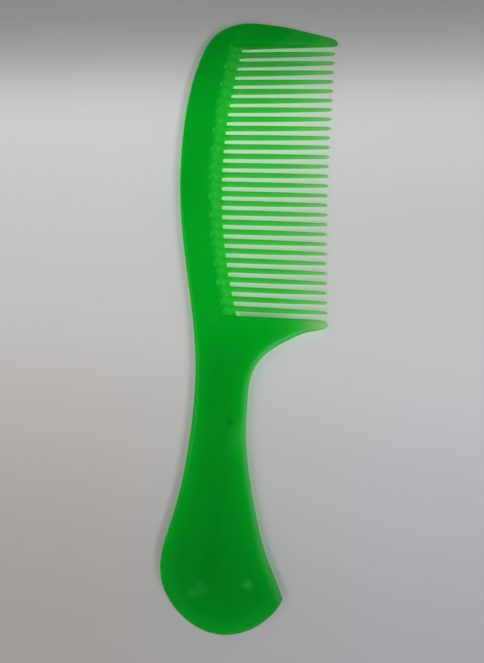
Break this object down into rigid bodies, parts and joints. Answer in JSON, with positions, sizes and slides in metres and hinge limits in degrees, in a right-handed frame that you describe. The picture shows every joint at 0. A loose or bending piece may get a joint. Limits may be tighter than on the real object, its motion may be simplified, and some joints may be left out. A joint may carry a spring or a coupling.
{
  "type": "handle comb",
  "caption": "Flat moulded plastic comb with a curved back, a straight row of fine tapered teeth between two guards, and a flared paddle handle.",
  "frame": {"origin": "under the middle of the comb's box, on the face that it lies on", "axes": "+Z out of the comb's upper face, +Y along the comb from the handle to the head, +X the way the teeth point"},
  "size_m": [0.0541, 0.2075, 0.0044],
  "materials": {
    "comb_plastic": "glossy, slightly translucent moulded green plastic"
  },
  "bodies": {
    "root": {"back": "comb_plastic", "top_guard": "comb_plastic", "lower_guard": "comb_plastic", "handle": "comb_plastic", "tooth_01": "comb_plastic", "tooth_02": "comb_plastic", "tooth_03": "comb_plastic", "tooth_04": "comb_plastic", "tooth_05": "comb_plastic", "tooth_06": "comb_plastic", "tooth_07": "comb_plastic", "tooth_08": "comb_plastic", "tooth_09": "comb_plastic", "tooth_10": "comb_plastic", "tooth_11": "comb_plastic", "tooth_12": "comb_plastic", "tooth_13": "comb_plastic", "tooth_14": "comb_plastic", "tooth_15": "comb_plastic", "tooth_16": "comb_plastic", "tooth_17": "comb_plastic", "tooth_18": "comb_plastic", "tooth_19": "comb_plastic", "tooth_20": "comb_plastic", "tooth_21": "comb_plastic", "tooth_22": "comb_plastic", "tooth_23": "comb_plastic", "tooth_24": "comb_plastic", "tooth_25": "comb_plastic", "tooth_26": "comb_plastic", "tooth_27": "comb_plastic", "tooth_28": "comb_plastic"}
  },
  "joints": []
}
